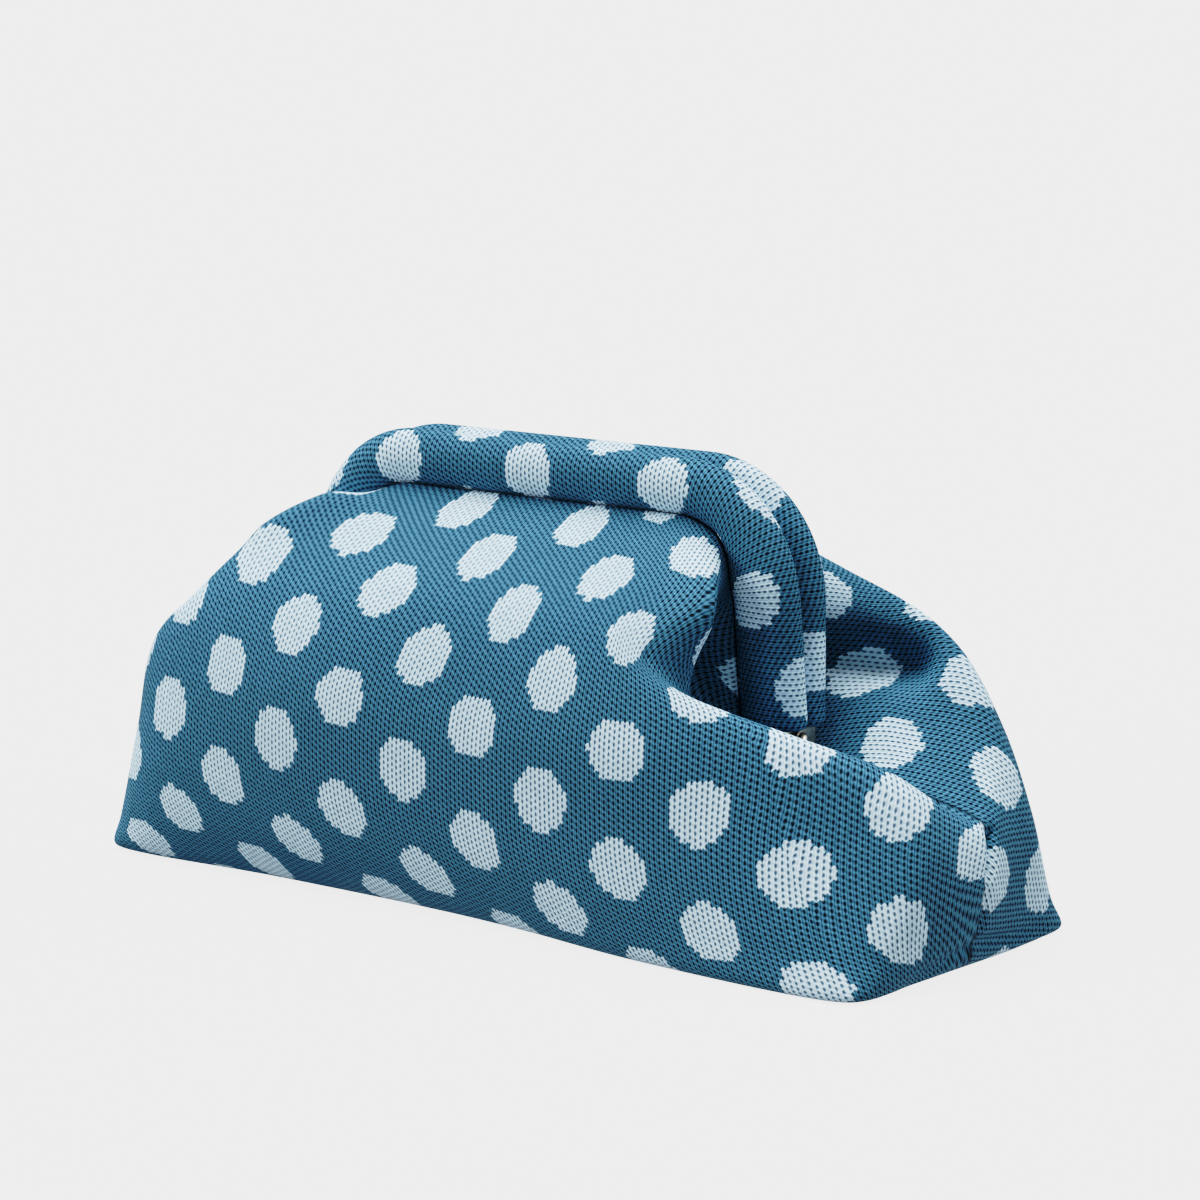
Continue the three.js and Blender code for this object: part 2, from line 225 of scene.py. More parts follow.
world = bpy.data.worlds.new("studio")
world.use_nodes = True
# The first output of Light Path is 1 for what the camera sees itself, so the backdrop lights nothing
seen = Wire(world.node_tree).node("ShaderNodeLightPath")
sky_colour = seen.mix((SKY, SKY, SKY, 1), (BACKDROP, BACKDROP, BACKDROP, 1))
world.node_tree.links.new(sky_colour.socket, world.node_tree.nodes["Background"].inputs["Color"])
scene.world = world

for name, wanted in SUNS.items():
    sun_light = bpy.data.lights.new(name, "SUN")
    sun_light.energy = wanted["power"]
    sun_light.angle = math.radians(wanted["spread"])
    sun = bpy.data.objects.new(name, sun_light)
    sun.rotation_euler = Vector(wanted["from"]).to_track_quat("Z", "Y").to_euler()
    scene.collection.objects.link(sun)
print("suns:", {name: wanted["power"] for name, wanted in SUNS.items()})

# %% [markdown]
# ## The floor
#
# The bag stands on an even pale ground with almost no shadow. A plain white plane would show a dark
# one, so the paper glows by itself and takes up little light. It throws no light back at the bag,
# which would wash out the deep folds.

# %% Lay the floor
FLOOR_REACH = 60
FLOOR_GLOW = 0.99
PAPER = (0.08, 0.08, 0.08, 1)

floor_mesh = bpy.data.meshes.new("floor")
corners = FLOOR_REACH * np.array([[-1, -1, 0], [1, -1, 0], [1, 1, 0], [-1, 1, 0]])
floor_mesh.from_pydata(corners.tolist(), [], [[0, 1, 2, 3]])
floor = bpy.data.objects.new("floor", floor_mesh)
scene.collection.objects.link(floor)
floor.visible_diffuse = False
paper, paper_shader, _ = new_finish("pale_paper")
paper_shader.inputs["Base Color"].default_value = PAPER
paper_shader.inputs["Roughness"].default_value = 1
paper_shader.inputs["Specular IOR Level"].default_value = 0
paper_shader.inputs["Emission Color"].default_value = (1, 1, 1, 1)
paper_shader.inputs["Emission Strength"].default_value = FLOOR_GLOW
floor_mesh.materials.append(paper)
print("floor", floor_mesh.polygons[0].area, "square metres")

# %% [markdown]
# ## Meshes from grids
#
# Every soft piece here is a sheet of points with rows and columns. A patch joins the neighbours of
# such a grid to four-sided faces, and gives each corner its place in the flat fabric. The grids
# hold vertex numbers, so two patches may share a row of vertices and still have different fabric
# coordinates, as two panels do at a seam. A second value on the points says where a seam runs.

# %% Join grids to a mesh
FABRIC = "fabric"
SEAM_LINE = "seam_line"
CUBIC_CM = 1e-6


def patch(numbers, fabric):
    """Faces between the neighbours of a grid of vertex numbers, and the fabric coordinates of their
    corners."""
    def corners_of(grid):
        return np.stack([grid[:-1, :-1], grid[:-1, 1:], grid[1:, 1:], grid[1:, :-1]], 2)

    faces = corners_of(numbers).reshape(-1, 4)
    return faces, corners_of(fabric).reshape(-1, 2)


def fan(pole, ring, pole_fabric, ring_fabric):
    """Three-sided faces from a pole to the neighbours on a ring, and the fabric coordinates of their
    corners."""
    faces = np.stack([np.full(len(ring) - 1, pole), ring[:-1], ring[1:]], 1)
    poles = np.broadcast_to(pole_fabric, ring_fabric[1:].shape)
    return faces, np.stack([poles, ring_fabric[:-1], ring_fabric[1:]], 1).reshape(-1, 2)


def piece(name, points, patches, material, seam):
    """A smooth mesh object of these points and patches, with the fabric coordinates in millimetres
    and a value at each point that is 1 on a seam and 0 elsewhere. Its volume is the sum over its
    triangles of a sixth of one corner times the cross product of the others. It is above 0 when the
    faces look outward."""
    faces = [face for patch_faces, _ in patches for face in patch_faces.tolist()]
    fabric = np.concatenate([patch_fabric for _, patch_fabric in patches]) / MM
    mesh = bpy.data.meshes.new(name)
    mesh.from_pydata(points.reshape(-1, 3).tolist(), [], faces)
    layer = mesh.uv_layers.new(name=FABRIC)
    layer.uv.foreach_set("vector", fabric.astype(np.float32).ravel())
    on_seam = mesh.attributes.new(SEAM_LINE, "FLOAT", "POINT")
    on_seam.data.foreach_set("value", seam.astype(np.float32).ravel())
    mesh.polygons.foreach_set("use_smooth", np.ones(len(faces), bool))
    mesh.materials.append(material)
    made = bpy.data.objects.new(name, mesh)
    bpy.context.scene.collection.objects.link(made)
    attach(made, "root")
    mesh.calc_loop_triangles()
    corners = np.zeros(3 * len(mesh.loop_triangles), np.int32)
    mesh.loop_triangles.foreach_get("vertices", corners)
    a, b, c = points.reshape(-1, 3)[corners.reshape(-1, 3)].transpose(1, 0, 2)
    volume = (a * np.cross(b, c)).sum() / 6
    print(name, len(a), "triangles, solid volume", round(volume / CUBIC_CM, 1), "cubic centimetres")
    return made


small_grid = np.arange(9).reshape(3, 3)
print("a grid of 3 by 3 points gives", len(patch(small_grid, np.zeros((3, 3, 2)))[0]), "faces")

# %% [markdown]
# ## The knit
#
# The cloth is a thick knit of blue and pale yarn. Columns of small holes stand half a row apart
# from their neighbours, with pairs of yarn legs between them and a fine slanting line over all. The
# light on the crests of the legs and the shade in the holes, in the gaps and beside the slanting line
# are painted into the colour. The dots are knitted in, so their edges go in steps of single stitches.
# An image of the knit would blur close up, while a formula of the fabric coordinates stays sharp:
# the distance to the nearest hole, to the crest of the leg and to the nearest dot. Along the end
# seams painted shade darkens the cloth, where the panels turn in.

# %% Choose the knit's sizes and colours
# Lengths are in millimetres of the flat fabric
COLUMN = 3.6
ROW = 2.1
HOLE = (0.55, 0.95)
# Shares of a row: how far a dot's edge is toothed, and where the middle of a stitch lies
TOOTH = 0.4
STITCH_MIDDLE = 0.75
# How much painted shade lowers the tone from the lit crest to the gap beside a leg, and beside
# the slanting line
CREST_FALL = 0.7
TWILL_FALL = 0.5
DOT_RADIUS = 10.4
DOT_PITCH = (58.6, 39.0)
DOT_START = (12.0, 34.0)
# Each yarn as lit, then painted shade in the gaps beside its legs and painted shade in its holes
BLUE = linear(83, 137, 168)
BLUE_GAP_SHADE = linear(12, 40, 62)
BLUE_HOLE_SHADE = linear(2, 9, 20)
PALE = linear(206, 238, 255)
PALE_GAP_SHADE = linear(194, 227, 252)
PALE_HOLE_SHADE = linear(64, 96, 126)
YARN_RELIEF = 0.5 * MM
CREST_SHARE = 0.4
# The least value, and how much is added to it at most
YARN_TONE = (0.9, 0.16)
YARN_ROUGHNESS = (0.78, 0.2)
YARN_GLOSS = 0.12
# How much painted shade darkens the cloth along the end seams
SEAM_SHADE = 0.9
print("a stitch is", COLUMN / 2, "by", ROW, "mm, a dot", 2 * DOT_RADIUS, "mm wide")

# %% Mix the knit
def oval(across, along, size):
    """1 in the middle of an oval hole, falling with the square of the distance to 0 at its edge."""
    width, height = size
    square = (across / width) * (across / width) + (along / height) * (along / height)
    return square.math("MAXIMUM", 1 - square, 0)


def nearest_dot(across, along):
    """Square of the distance to the nearest of the dots. They stand in rows, and every other column of
    dots is half a row higher."""
    squares = []
    for half in (0, 0.5):
        right = (across - DOT_START[0]) / DOT_PITCH[0] - half
        up = (along - DOT_START[1]) / DOT_PITCH[1] - half
        right = (right - right.math("ROUND", right)) * DOT_PITCH[0]
        up = (up - up.math("ROUND", up)) * DOT_PITCH[1]
        squares.append(right * right + up * up)
    return squares[0].math("MINIMUM", *squares)


def knit(name):
    """Dotted knit. Raising the rows by the distance from the column's middle puts the holes between two
    columns half a row above those in the middle. Painted shade makes a leg's tone fall with the
    squares of the distances from its crest and from the slanting line, and darkens the holes and the
    end seams. A dot's edge goes in steps, because the middle of each stitch decides for the whole
    stitch."""
    material, shader, start = new_finish(name)
    place = start.node("ShaderNodeUVMap", {"uv_map": FABRIC})
    place = place.node("ShaderNodeSeparateXYZ", inputs={0: place})
    column = place.out("X") / COLUMN
    aside = abs(column.math("FRACT", column) - 0.5)
    row = place.out("Y") / ROW - aside
    up = row.math("FRACT", row) - 0.5
    hole = row.math("MAXIMUM", *[oval(side * COLUMN, up * ROW, HOLE) for side in (aside, 0.5 - aside)])
    off_crest = 2 * column.math("FRACT", 4 * column) - 1
    twill = 2 * column.math("FRACT", column + place.out("Y") / ROW) - 1
    crest = 1 - CREST_FALL * off_crest * off_crest - TWILL_FALL * twill * twill
    pair_middle = (column.math("FLOOR", column * 2) + 0.5) * (COLUMN / 2)
    toothed = place.out("Y") / ROW - TOOTH * (1 - abs(4 * aside - 1))
    stitch_middle = (row.math("FLOOR", toothed) + STITCH_MIDDLE) * ROW
    in_dot = nearest_dot(pair_middle, stitch_middle) < DOT_RADIUS**2

    stitch = start.node("ShaderNodeCombineXYZ", inputs={0: pair_middle, 1: stitch_middle})
    chance = start.node("ShaderNodeTexWhiteNoise", {"noise_dimensions": "2D"}, {"Vector": stitch})
    # Painted highlight on each leg's crest, painted shade in the gaps and along the slanting line
    yarn = crest.mix(in_dot.mix(BLUE_GAP_SHADE, PALE_GAP_SHADE), in_dot.mix(BLUE, PALE))
    tone = YARN_TONE[0] + YARN_TONE[1] * chance
    yarn = yarn.node("ShaderNodeVectorMath", {"operation": "SCALE"}, {0: yarn, "Scale": tone})
    # Painted shade in the holes of the knit
    colour = hole.mix(yarn, in_dot.mix(BLUE_HOLE_SHADE, PALE_HOLE_SHADE))
    # Painted shade along the end seams, where the panels turn in
    seam = start.node("ShaderNodeAttribute", {"attribute_name": SEAM_LINE}, output="Fac")
    colour = (SEAM_SHADE * seam).mix(colour, BLUE_HOLE_SHADE)
    height = crest * CREST_SHARE - hole
    bump = start.node("ShaderNodeBump", inputs={"Height": height, "Distance": YARN_RELIEF})
    roughness = YARN_ROUGHNESS[0] + YARN_ROUGHNESS[1] * hole
    tree = material.node_tree
    tree.links.new(colour.socket, shader.inputs["Base Color"])
    tree.links.new(roughness.socket, shader.inputs["Roughness"])
    tree.links.new(bump.socket, shader.inputs["Normal"])
    shader.inputs["Specular IOR Level"].default_value = YARN_GLOSS
    return material


dotted_knit = knit("dotted_knit")
print("dotted_knit has", len(dotted_knit.node_tree.nodes), "nodes")

# %% [markdown]
# ## The line of the bows
#
# Both bows of the frame are flat bars bent to the same U. The casings follow that line, and the
# mouth of the pouch is sewn along it. The line could be drawn anew, but its height, width and depth
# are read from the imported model, so casings and steel stay together. Only the bar's width and the
# radius of its bends are repeated here.

# %% Measure the bows
BAR_WIDTH = 12 * MM
BOW_CORNER = 36 * MM
bow_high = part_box("front_bow")[1]
casing_low, casing_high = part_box("front_casing")
BOW_TOP = bow_high.z - BAR_WIDTH / 2
BOW_HALF_WIDTH = bow_high.x - BAR_WIDTH / 2
BOW_DEPTH = -(casing_low.y + casing_high.y) / 2
CASING_THICK = casing_high.y - casing_low.y
CASING_HIGH = 2 * (casing_high.z - BOW_TOP)
CASING_FOOT = casing_low.z
CORNER_LENGTH = BOW_CORNER * math.pi / 2
HALF_LENGTH = BOW_HALF_WIDTH - BOW_CORNER + CORNER_LENGTH + BOW_TOP - BOW_CORNER - CASING_FOOT


def bow_line(along):
    """Points of a bow and their outward directions, at lengths from the middle of the top bar.
    A level stretch, a quarter circle and a plumb leg; the left half mirrors the right."""
    side = np.sign(along)
    length = np.abs(along)
    level = BOW_HALF_WIDTH - BOW_CORNER
    turn = np.clip((length - level) / BOW_CORNER, 0, math.pi / 2)
    leg = np.maximum(length - level - CORNER_LENGTH, 0)
    outward = np.stack([side * np.sin(turn), 0 * turn, np.cos(turn)], -1)
    centre = np.stack([side * np.minimum(length, level), 0 * turn, BOW_TOP - BOW_CORNER - leg], -1)
    return centre + BOW_CORNER * outward, outward


LEG_PADDING = 5.5 * MM
LEG_FROM, LEG_FULL = 76 * MM, 106 * MM
LEAN = np.array([2.0, 2.4]) * MM


def casing_inner(along):
    """How far the casing reaches inward from the bow: half its height, and more on the padded legs,
    by a smooth step."""
    share = np.clip((np.abs(along) - LEG_FROM) / (LEG_FULL - LEG_FROM), 0, 1)
    return CASING_HIGH / 2 + LEG_PADDING * share**2 * (3 - 2 * share)


def lean(along):
    """How far the casing's leg leans outward and towards the middle plane, growing evenly to its foot."""
    share = np.clip((np.abs(along) - LEG_FULL) / (HALF_LENGTH - LEG_FULL), 0, 1)
    return LEAN[0] * share, LEAN[1] * share


print("half a casing is", round(HALF_LENGTH / MM, 1), "mm long")

# %% [markdown]
# ## The shape of the pouch
#
# A filled cloth bag has no simple formula. It could be simulated, but then each fold would fall by
# chance. Here the bag is measured like a garment: at seven heights, from the sole to the slope
# below the frame, a table says how far the cloth stands from the middle planes. Each corner has a
# wing, where the panel turns into the end, and a gusset between wing and seam. The left corners
# stand full, the back right one leans, and the front right one has slumped into a pocket.

# %% Measure the pouch
# Each row is one height. Columns of the middle of a panel: y and z. Columns of the seam: x, y and z
MIDDLE = MM * np.array([[50, 0], [55, 1.8], [60, 14], [62, 42], [60, 72], [50, 101], [33, 119]])
SEAM = MM * np.array([
    [163, -4, 0], [166, -4, 2.2], [169, -2.5, 12], [170, 1, 29],
    [166, 8, 42], [144, 5, 51], [118, 2, 54],
])

# Columns of a corner: quarter point x, y and z, wing x, y and z, how far the wing's edge is cut back,
# gusset x, y and z
FULL = MM * np.array([
    [80, 50, 0, 157, 54, 0, 5, 156, 27, 0],
    [82, 55, 2, 161, 57, 1.8, 5, 161, 28, 2.5],
    [84, 60, 14, 161, 57, 11, 10, 164, 28, 12],
    [82, 62, 42, 158, 54, 43, 16, 165, 24, 40],
    [74, 60, 72, 149, 47, 77, 7, 154, 24, 60],
    [62, 50, 100, 134, 43, 94, 8, 136, 24, 70],
    [50, 33, 118, 111, 33, 116, 8, 112, 22, 78],
])
LEANING = MM * np.array([
    [80, 50, 0, 161, 57, 0, 5, 164, 27, 0],
    [82, 55, 2, 164, 59, 1.6, 5, 166, 28, 2],
    [84, 60, 14, 163, 58, 11, 10, 166, 28, 12],
    [82, 62, 42, 159, 54, 43, 16, 165, 24, 40],
    [74, 60, 72, 151, 49, 70, 14, 155, 24, 58],
    [62, 50, 100, 136, 42, 95, 10, 134, 24, 70],
    [50, 33, 118, 101, 36, 113, 10, 107, 22, 76],
])
SLUMPED = MM * np.array([
    [80, 60, 0, 160, 59, 0, 5, 162, 27, 0],
    [81, 62, 2, 163, 61, 1.6, 5, 165, 28, 2],
    [84, 63, 14, 162, 58, 12, 10, 167, 28, 13],
    [82, 62, 42, 154, 51, 44, 22, 166, 22, 41],
    [74, 60, 72, 128, 47, 74, 12, 147, 22, 64],
    [62, 50, 100, 78, 48, 92, 5, 102, 21, 64],
    [50, 33, 118, 91, 37, 113, 5, 84, 18, 67],
])
print("the corners differ by up to", round(float(np.abs(FULL - SLUMPED).max() / MM), 1), "mm")

# %% [markdown]
# ## Once round the pouch
#
# The real pouch is a belt of cloth: front, right end, back and left end. The belt could be one long
# table, but corners that are mirrored to their places keep it short. Each table is written for a
# corner at the right and behind. The edge of a wing would be too sharp for thick knit, so it is cut
# back to two points, and the curve between them rounds it.

# %% Go once round the pouch
def corner(table, side_x, side_y):
    """Quarter point, both ends of the cut at the wing's edge, and gusset, at every height. A cut point
    lies the same length from the wing towards either neighbour."""
    side = np.array([side_x, side_y, 1])
    quarter, wing, back, gusset = table[:, :3], table[:, 3:6], table[:, 6:7], table[:, 7:]

    def cut(end):
        return wing + back * (end - wing) / np.linalg.norm(end - wing, axis=1, keepdims=True)

    return [side * point for point in (quarter, cut(quarter), cut(gusset), gusset)]


def measured_points():
    """The measured points, stations by heights: once round from the front middle by the right seam."""
    zero = np.zeros(len(MIDDLE))
    front = np.stack([zero, -MIDDLE[:, 0], MIDDLE[:, 1]], -1)
    mirror_x, mirror_y = np.array([-1, 1, 1]), np.array([1, -1, 1])
    return np.stack([
        front,
        *corner(SLUMPED, 1, -1),
        SEAM,
        *corner(LEANING, 1, 1)[::-1],
        front * mirror_y,
        *corner(FULL, -1, 1),
        SEAM * mirror_x,
        *corner(FULL, -1, -1)[::-1],
    ])


STATIONS = len(measured_points())
print("measured points:", measured_points().shape)

# %% [markdown]
# ## Curves through measured points
#
# Cloth hangs in smooth curves between the points that hold it. A plain cubic overshoots where
# points lie close together beside a long gap. The centripetal curve through the points doesn't: its
# knots stand apart by the root of the distance between the points.

# %% Draw smooth curves
CLOSEST_KNOTS = 1e-6


def through(points, at, closed):
    """Centripetal curves through points, one for each later axis, at fractional point numbers. Each
    stretch is a cubic whose end slopes come from the neighbours, weighted by the knots' distances."""
    count = len(points)
    if closed:
        row = np.concatenate([points[-1:], points, points[:2]])
    else:
        row = np.concatenate([2 * points[:1] - points[1:2], points, 2 * points[-1:] - points[-2:-1]])
    lengths = np.linalg.norm(np.diff(row, axis=0), axis=-1, keepdims=True)
    knots = np.maximum(lengths**0.5, CLOSEST_KNOTS)
    stretch = np.minimum(at.astype(int), count - 1 if closed else count - 2)
    t = (at - stretch).reshape(-1, *[1] * (points.ndim - 1))
    before, first, second, after = (row[stretch + k] for k in range(4))
    gap_before, gap, gap_after = (knots[stretch + k] for k in range(3))

    def slope(a, b, c, gap_ab, gap_bc):
        return ((b - a) / gap_ab - (c - a) / (gap_ab + gap_bc) + (c - b) / gap_bc) * gap

    start = slope(before, first, second, gap_before, gap)
    end = slope(first, second, after, gap, gap_after)
    rise = 3 * t**2 - 2 * t**3
    return first + rise * (second - first) + (t**3 - 2 * t**2 + t) * start + (t**3 - t**2) * end


at_stations = through(measured_points(), np.arange(STATIONS), True)
print("the curves pass the measured points:", np.allclose(at_stations, measured_points()))

# %% [markdown]
# ## The mouth
#
# On the real bag the mouth is sewn to the underside of the casings. Its points could be measured
# like the others, but then gaps could open beside the casings. So they are worked out from the
# casing: a length along the bow, an angle round the oval and a small gap. Below the feet of the
# legs front and back meet.

# %% Follow the casings with the mouth
# Rows: the stations from the middle of a panel to its seam. Columns: length along the bow, angle round
# the casing, gap
MOUTH = np.array([
    [0, 62, 0.6], [40, 62, 0.6], [74, 62, 0.6], [88, 58, 0.5], [153, 58, 0.6], [153, 58, 0.6],
])
MOUTH_INWARD = 4 * MM
MOUTH_DROP = 16 * MM
RIGHT_SEAM, BACK_MIDDLE, LEFT_SEAM = STATIONS // 4, STATIONS // 2, 3 * STATIONS // 4
GUSSET = RIGHT_SEAM - 1


def mouth(stations):
    """The mouth's points: they follow the underside of the casing, and past the gusset they turn below
    the end of the leg towards the middle plane, where front and back meet."""
    from_middle = np.abs((stations + RIGHT_SEAM) % BACK_MIDDLE - RIGHT_SEAM)
    side_x = np.where(stations < BACK_MIDDLE, 1, -1)
    side_y = np.where((stations < RIGHT_SEAM) | (stations > LEFT_SEAM), -1, 1)
    along, angle, gap = (np.interp(from_middle, np.arange(len(MOUTH)), column) for column in MOUTH.T)
    angle = np.radians(angle)
    turn = np.clip(from_middle - GUSSET, 0, 1) * math.pi / 2
    centre, outward = bow_line(along * MM)
    point = centre - outward * ((casing_inner(along * MM) + gap * MM) * np.sin(angle))[:, None]
    leg_out, leg_in = lean(along * MM)
    beside = BOW_DEPTH + (CASING_THICK / 2 + gap * MM) * np.cos(angle) - leg_in
    return np.stack([
        side_x * (point[:, 0] + leg_out - MOUTH_INWARD * np.sin(turn)),
        side_y * beside * np.cos(turn),
        point[:, 2] - MOUTH_DROP * np.sin(turn),
    ], -1)


mouth_points = mouth(np.arange(STATIONS))
print("the mouth is", round(float(np.ptp(mouth_points[:, 0])) / MM, 1), "mm wide")

# %% [markdown]
# ## The creases
#
# At the end seams the cloth turns in, beside the front right leg it falls into a deep pocket,
# behind that leg it makes a valley, and near the left leg it puffs out. More measured points could
# say that, but each would need a row for the whole bag. A crease is a line in space instead, and
# cloth near the line is pressed in, or out, by a bell of the distance to it.

# %% Press in the creases
# Rows: the right end seam twice, the left one twice, the base of the right end twice, the pocket, the
# valley behind the right leg, the puff at the left. Columns: both ends x, y and z, width, depth
CREASES = MM * np.array([
    [171, -3, 4, 173, 1, 27, 2.2, 5.5],
    [173, 1, 27, 167, 9, 43, 2.2, 6],
    [-171, -3, 4, -173, 1, 27, 2.2, 5.5],
    [-173, 1, 27, -167, 9, 43, 2.2, 6],
    [163, -36, 2, 169, -2, 8, 2.5, 2],
    [169, -2, 8, 165, 40, 3, 2.5, 2],
    [79, -23, 100, 88, -26, 84, 11, 17],
    [92, 22, 88, 118, 34, 86, 8, 11],
    [-84, -21, 132, -108, -30, 124, 10, -7],
])
SOLE_EASE = 6 * MM


def normals(grid):
    """Outward directions of a grid of stations by heights: across its columns times up its rows."""
    across = np.roll(grid, -1, 0) - np.roll(grid, 1, 0)
    up = np.gradient(grid, axis=1)
    out = np.cross(across, up)
    return out / np.linalg.norm(out, axis=-1, keepdims=True)


def crease_depth(grid):
    """How deep each point is pressed in: the strongest bell of the distances to the crease lines, fading
    out towards the sole."""
    start, end, width, depth = CREASES[:, :3], CREASES[:, 3:6], CREASES[:, 6], CREASES[:, 7]
    line = end - start
    from_start = grid[..., None, :] - start
    share = np.clip((from_start * line).sum(-1) / (line * line).sum(-1), 0, 1)
    distance = np.linalg.norm(from_start - share[..., None] * line, axis=-1)
    bells = depth * np.exp(-((distance / width) ** 2))
    strongest = np.abs(bells).argmax(-1)[..., None]
    return np.take_along_axis(bells, strongest, -1)[..., 0] * np.clip(grid[..., 2] / SOLE_EASE, 0, 1)


print(len(CREASES), "crease lines, the deepest", CREASES[:, 7].max() / MM, "mm")

# %% [markdown]
# ## The skin
#
# The outer side of the cloth follows from all that: curves round the bag at each height, and curves
# up the bag through those. It could be kept as one fixed mesh, but a function of station and height
# lets every later step take its own grid: a coarse one to unroll, a fine one to show.

# %% Stretch the skin
MOUTH_EASE = 0.5


def skin(stations, heights):
    """The pouch's outer skin, stations by heights: closed curves through the measured points at each
    height, and rising curves through those and the mouth. The creases are pressed in and the box is
    centred, both fading out towards the mouth, which stays at the casings."""
    rings = through(measured_points(), stations, True)
    rings = np.concatenate([rings, mouth(stations)[:, None]], 1)
    grid = through(rings.transpose(1, 0, 2), heights, False).transpose(1, 0, 2)
    ease = np.clip((len(MIDDLE) - heights) / MOUTH_EASE, 0, 1)[:, None]
    grid = grid - normals(grid) * crease_depth(grid)[..., None] * ease
    middle = (grid.min((0, 1)) + grid.max((0, 1))) / 2
    return grid - middle * [1, 1, 0] * ease


rough = skin(np.arange(STATIONS), np.arange(len(MIDDLE) + 1))
print("the rough skin measures", np.round((rough.max((0, 1)) - rough.min((0, 1))) / MM, 1).tolist(), "mm")

# %% [markdown]
# ## Fabric coordinates
#
# The knit has to lie on the pouch as it does on the real one: rows level along the panel, the dots
# round. A flat projection would stretch them on the ends. Instead each panel is unrolled: its grid
# becomes a net of springs whose lengths are those on the bag, and the net is relaxed in the plane
# until it lies flat. Springs over two steps keep the rows straight, so that no cell turns over at a
# sharp fold. Near the mouth the cloth is gathered, so there the net is wider than the bag.

# %% Unroll the panels
GATHER = 0.85
GATHER_HEIGHTS = (4.5, 7)
ROUNDS = 3000
PUSH = 1.6
DIAGONAL = 0.5
STRAIGHTENING = 0.5
TINY = 1e-9


def spring_lengths(panel, heights):
    """Lengths across, up and along both diagonals. The lengths across are divided by the gather, and the
    squares of the diagonals grow by as much as the squares of the lengths across."""
    gather = np.interp(heights, GATHER_HEIGHTS, [1, 1 / GATHER])
    across = np.linalg.norm(np.diff(panel, axis=0), axis=-1) * gather
    up = np.linalg.norm(np.diff(panel, axis=1), axis=-1)
    mean_gather = (gather[1:] + gather[:-1]) / 2
    mean_across = (across[:, 1:] + across[:, :-1]) / 2
    spare = (1 - 1 / mean_gather**2) * mean_across**2
    rising = np.sqrt(((panel[1:, 1:] - panel[:-1, :-1]) ** 2).sum(-1) + spare)
    falling = np.sqrt(((panel[1:, :-1] - panel[:-1, 1:]) ** 2).sum(-1) + spare)
    return across, up, rising, falling


def unrolled(panel, heights):
    """Flat places of a panel's grid, from the middle of its lowest row. In each round every spring pulls
    its two ends towards its own length, and each point moves by the mean of its springs' pulls, times
    the push."""
    across, up, rising, falling = spring_lengths(panel, heights)
    springs = [
        (np.s_[:-1, :], np.s_[1:, :], across, 1.0),
        (np.s_[:, :-1], np.s_[:, 1:], up, 1.0),
        (np.s_[:-1, :-1], np.s_[1:, 1:], rising, DIAGONAL),
        (np.s_[:-1, 1:], np.s_[1:, :-1], falling, DIAGONAL),
        (np.s_[:-2, :], np.s_[2:, :], across[:-1] + across[1:], STRAIGHTENING),
        (np.s_[:, :-2], np.s_[:, 2:], up[:, :-1] + up[:, 1:], STRAIGHTENING),
    ]
    middle = len(panel) // 2
    u = np.pad(np.cumsum(across, 0), ((1, 0), (0, 0)))
    v = np.pad(np.cumsum(up, 1), ((0, 0), (1, 0)))
    flat = np.stack([u - u[middle], v], -1)
    for _ in range(ROUNDS):
        pull = np.zeros_like(flat)
        weight = np.zeros(flat.shape[:2] + (1,))
        for a, b, length, strength in springs:
            apart = flat[b] - flat[a]
            now = np.maximum(np.linalg.norm(apart, axis=-1, keepdims=True), TINY)
            move = strength * (1 - length[..., None] / now) * apart / 2
            pull[a] += move
            pull[b] -= move
            weight[a] += strength
            weight[b] += strength
        flat = flat + PUSH * pull / weight
        flat[middle, :, 0] = 0
        flat -= [0, flat[middle, 0, 1]]
    strain = np.abs(np.linalg.norm(flat[1:] - flat[:-1], axis=-1) / across - 1)
    print("panel unrolled, mean strain", round(float(strain.mean()), 3))
    return flat


def stretches(counts):
    """Fractional numbers that split each whole step into a count of equal parts."""
    return np.concatenate([step + np.arange(count) / count for step, count in enumerate(counts)])


# Cells between neighbouring stations from a panel's middle to its seam, and between the heights
COARSE_QUARTER = [4, 4, 1, 2, 3]
COARSE_ROWS = [1, 2, 4, 3, 3, 3, 4]
COARSE_HEIGHTS = np.append(stretches(COARSE_ROWS), len(COARSE_ROWS))
print("the net of a panel has", 2 * sum(COARSE_QUARTER), "by", sum(COARSE_ROWS), "cells")

# %% [markdown]
# ## How the dots lie
#
# On the real bag the knit was not cut quite square, and filling has stretched it. On the front the
# dots stand closer at the left than at the right, and the rows near the frame have slipped to the
# right and are gathered most at their ends. At the base and at the right end the cloth is drawn
# under and down. Each dot could be placed by hand, but a few gentle bends of the fabric coordinates
# move stitches and dots together. On the back the pattern starts elsewhere.

# %% Lay the knit on the panels
# Each bend has its size, the place where it starts, and the length over which it grows
FRONT_STRETCH = 0.35
FRONT_STRETCH_FROM = 12 * MM
FRONT_SLIP = 10 * MM
FRONT_SLIP_FROM = 58 * MM
FRONT_SLIP_OVER = 95 * MM
SLOPE_GATHER = 7 * MM
SLOPE_HEIGHTS = (75 * MM, 110 * MM)
SLOPE_MIDDLE, SLOPE_RIGHT, SLOPE_REACH = -5 * MM, 75 * MM, 70 * MM
BASE_DRAW = np.array([6.5, 5.0]) * MM
BASE_BELOW, BASE_OVER = 45 * MM, 25 * MM
BASE_EASE = (0, 120 * MM)
BASE_EASED = 0.35
END_DRAW = 13 * MM
END_FROM, END_OVER = 150 * MM, 45 * MM
END_HEIGHTS = (10 * MM, 35 * MM)
BACK_SHIFT = np.array([-18.8, 25.0]) * MM
BACK_RISE = 8 * MM
BACK_RISE_FROM, BACK_RISE_OVER = -155 * MM, 50 * MM


